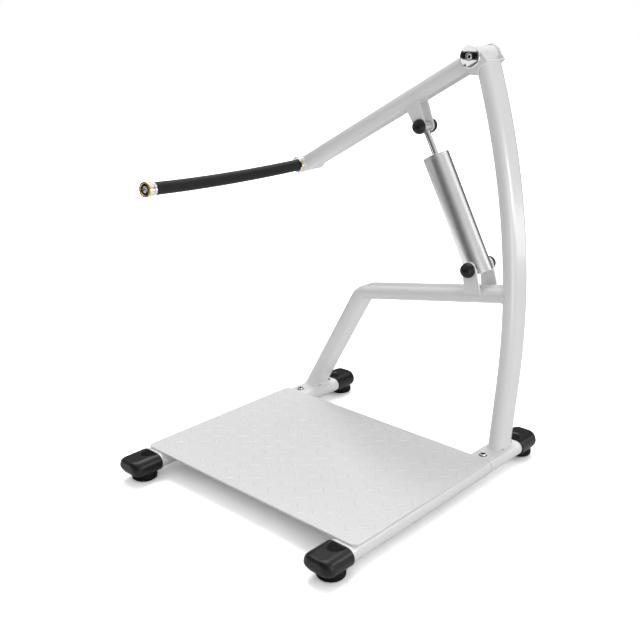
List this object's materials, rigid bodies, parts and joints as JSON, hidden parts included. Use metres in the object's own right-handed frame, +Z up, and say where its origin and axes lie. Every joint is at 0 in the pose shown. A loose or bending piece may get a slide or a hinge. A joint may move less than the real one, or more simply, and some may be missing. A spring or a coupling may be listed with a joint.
{
  "type": "hydraulic shoulder machine",
  "caption": "Standing shoulder machine: a lever arm with a padded side bar turns on a curved post, slowed by a hydraulic cylinder on a bent brace; tread platform on a flat-oval tube frame.",
  "frame": {"origin": "centre of the machine's footprint, on the floor", "axes": "+Z up; +Y from the front feet to the rear feet, where the post and the brace stand; +X from the brace's runner to the post's runner"},
  "size_m": [0.779, 0.885, 1.1015],
  "materials": {
    "white_powder_coat": "glossy white powder coat",
    "grey_tread_plate": "light grey coated tread plate",
    "black_rubber": "matt",
    "black_cap_plastic": "satin",
    "black_grip_foam": "matt",
    "polished_chrome": "polished",
    "gold_tinted_chrome": "polished, gold tinted",
    "brushed_aluminium": "brushed",
    "plain_steel": "machined",
    "bronze_bush": "machined",
    "seal_rubber": "smooth"
  },
  "bodies": {
    "frame": {"runner_tube_left": "white_powder_coat", "runner_tube_right": "white_powder_coat", "rear_stub_left": "white_powder_coat", "rear_stub_right": "white_powder_coat", "spigot_left": "plain_steel", "spigot_right": "plain_steel", "seam_bolt_left": "polished_chrome", "seam_bolt_right": "polished_chrome", "foot_cap_front_left": "black_cap_plastic", "foot_cap_front_right": "black_cap_plastic", "foot_cap_rear_left": "black_cap_plastic", "foot_cap_rear_right": "black_cap_plastic", "foot_pad_front_left": "black_rubber", "foot_pad_front_right": "black_rubber", "foot_pad_rear_left": "black_rubber", "foot_pad_rear_right": "black_rubber", "platform_plate": "grey_tread_plate", "cross_member_1": "white_powder_coat", "cross_member_2": "white_powder_coat", "cross_member_3": "white_powder_coat", "post_tube": "white_powder_coat", "brace_tube": "white_powder_coat", "pivot_bracket": "white_powder_coat", "pivot_axle": "plain_steel", "axle_cap_front": "polished_chrome", "axle_cap_rear": "polished_chrome", "lower_clevis_plate_front": "white_powder_coat", "lower_clevis_plate_rear": "white_powder_coat", "lower_pin": "plain_steel", "lower_pin_cap_front": "black_cap_plastic", "lower_pin_cap_rear": "black_cap_plastic"},
    "arm": {"pivot_barrel": "white_powder_coat", "pivot_bearing_front": "plain_steel", "pivot_bearing_rear": "plain_steel", "arm_tube": "white_powder_coat", "upper_clevis_plate_front": "white_powder_coat", "upper_clevis_plate_rear": "white_powder_coat", "upper_pin": "plain_steel", "upper_pin_cap_front": "black_cap_plastic", "upper_pin_cap_rear": "black_cap_plastic", "handle_socket": "white_powder_coat", "handle_bar": "polished_chrome", "grip_collar_inner": "gold_tinted_chrome", "handle_grip": "black_grip_foam", "grip_collar_outer": "polished_chrome", "handle_end_cap": "gold_tinted_chrome"},
    "rod": {"rod_eye": "plain_steel", "rod_bush": "bronze_bush", "piston_rod": "polished_chrome", "piston": "brushed_aluminium", "piston_seal": "seal_rubber"},
    "cylinder": {"cylinder_tube": "brushed_aluminium", "cylinder_base": "brushed_aluminium", "cylinder_gland": "brushed_aluminium", "rod_wiper": "seal_rubber"}
  },
  "joints": [
    {"name": "arm_pivot", "type": "hinge", "parent": "frame", "child": "arm", "pos_m": [0.21895, 0.3035, 1.073], "axis": [0, 1, 0], "range_deg": [-5, 40]},
    {"name": "rod_pivot", "type": "hinge", "parent": "arm", "child": "rod", "pos_m": [0.05806, 0.3035, 0.89201], "axis": [0, 1, 0], "range_deg": [-42, 6]},
    {"name": "cylinder_slide", "type": "slide", "parent": "rod", "child": "cylinder", "axis": [0.4737, 0, -0.8807], "range_m": [-0.022, 0.167]}
  ],
  "couplings": [
    {"joint": "rod_pivot", "follows": "arm_pivot", "ratio": -1.0276},
    {"joint": "cylinder_slide", "follows": "arm_pivot", "m_per_rad": 0.23697}
  ]
}
